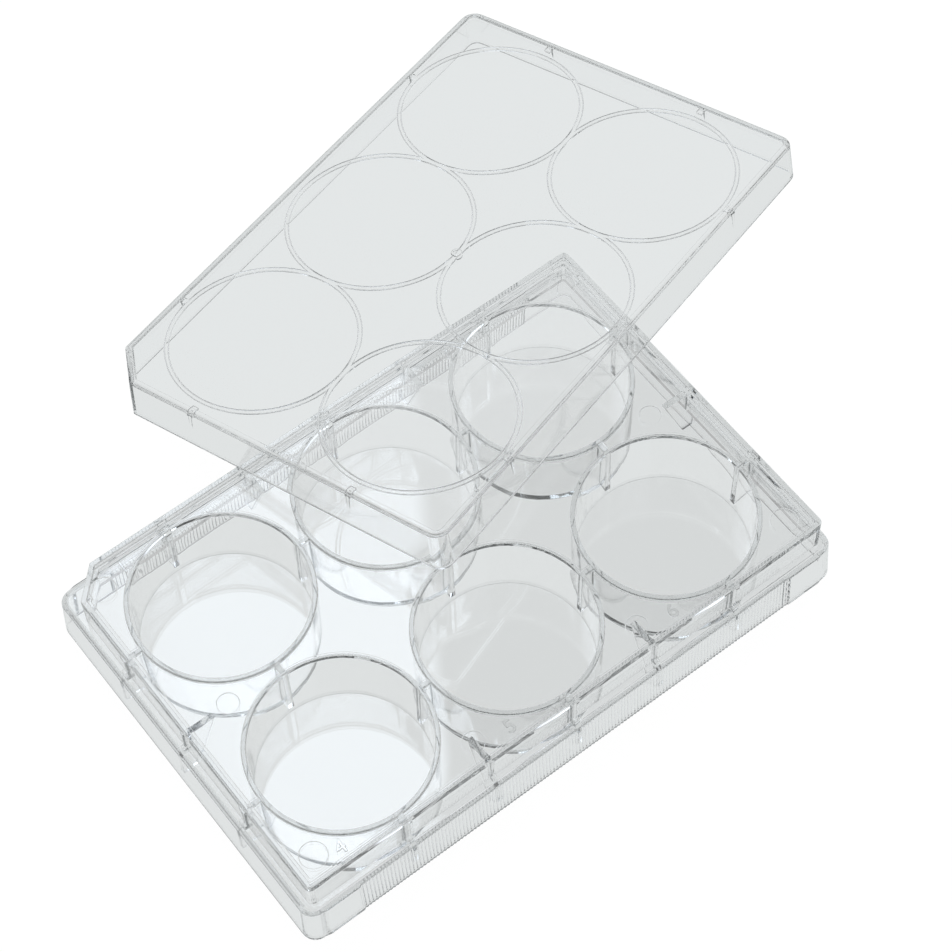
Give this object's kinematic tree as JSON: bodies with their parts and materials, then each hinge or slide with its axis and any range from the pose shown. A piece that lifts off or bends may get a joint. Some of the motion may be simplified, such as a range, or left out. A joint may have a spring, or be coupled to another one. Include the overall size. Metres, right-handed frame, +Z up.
{
  "type": "well plate",
  "caption": "Clear moulded culture plate with round wells in two rows and a ringed lid leaned on its far rims.",
  "frame": {"origin": "middle of the whole footprint, plate and leaned lid together, on the bench plane", "axes": "+Z up, X along the plate's long side, +Y towards the side the lid leans to, the plate's cut corner at -X +Y"},
  "size_m": [0.1782, 0.1514, 0.0359],
  "materials": {
    "clear_polystyrene": "clear, glossy"
  },
  "bodies": {
    "root": {"plate": "clear_polystyrene", "lid": "clear_polystyrene"}
  },
  "joints": []
}
